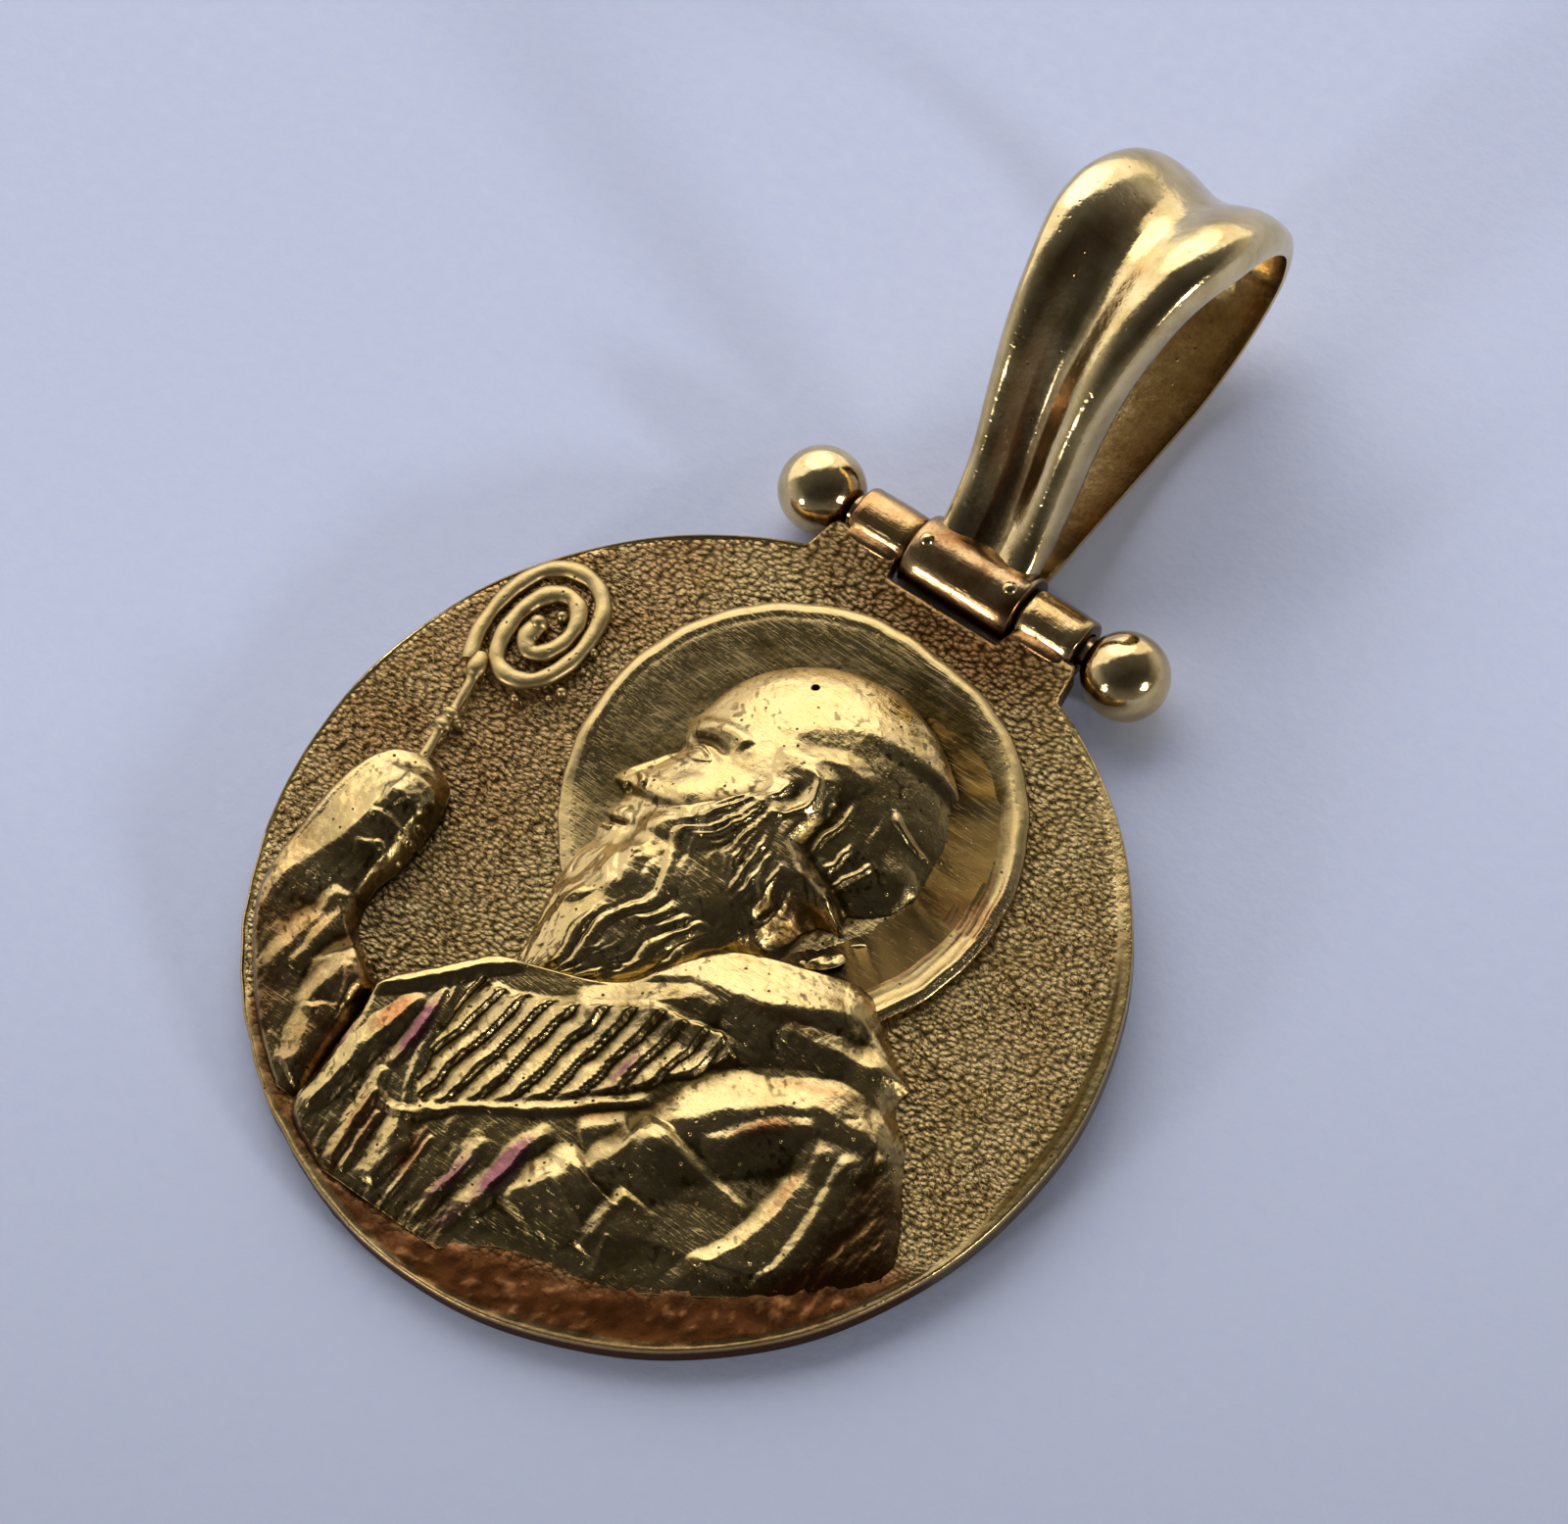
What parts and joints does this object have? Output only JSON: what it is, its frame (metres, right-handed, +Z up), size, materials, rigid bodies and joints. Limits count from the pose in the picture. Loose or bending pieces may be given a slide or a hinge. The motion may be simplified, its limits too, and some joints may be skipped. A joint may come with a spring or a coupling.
{
  "type": "pendant",
  "caption": "Round cast devotional medal with a haloed bearded figure in relief, hinged by a ball-ended pin to a ridged teardrop chain loop.",
  "frame": {"origin": "under the middle of the whole pendant's length, on the surface it lies on", "axes": "+X along the hinge, +Y from the medal towards the chain loop, +Z up out of the medal's face"},
  "size_m": [0.022, 0.0344, 0.0074],
  "materials": {
    "medal_gold": "cast gold, polished on its high places and dark in its hollows",
    "pin_gold": "polished gold",
    "bail_gold": "polished gold with fine scratches and a dark valley"
  },
  "bodies": {
    "medal": {"medal": "medal_gold", "hinge_pin": "pin_gold"},
    "bail": {"bail": "bail_gold"}
  },
  "joints": [
    {"name": "bail_hinge", "type": "hinge", "parent": "medal", "child": "bail", "pos_m": [0, 0.00578, 0.00115], "axis": [1, 0, 0], "range_deg": [-125, 104]}
  ]
}
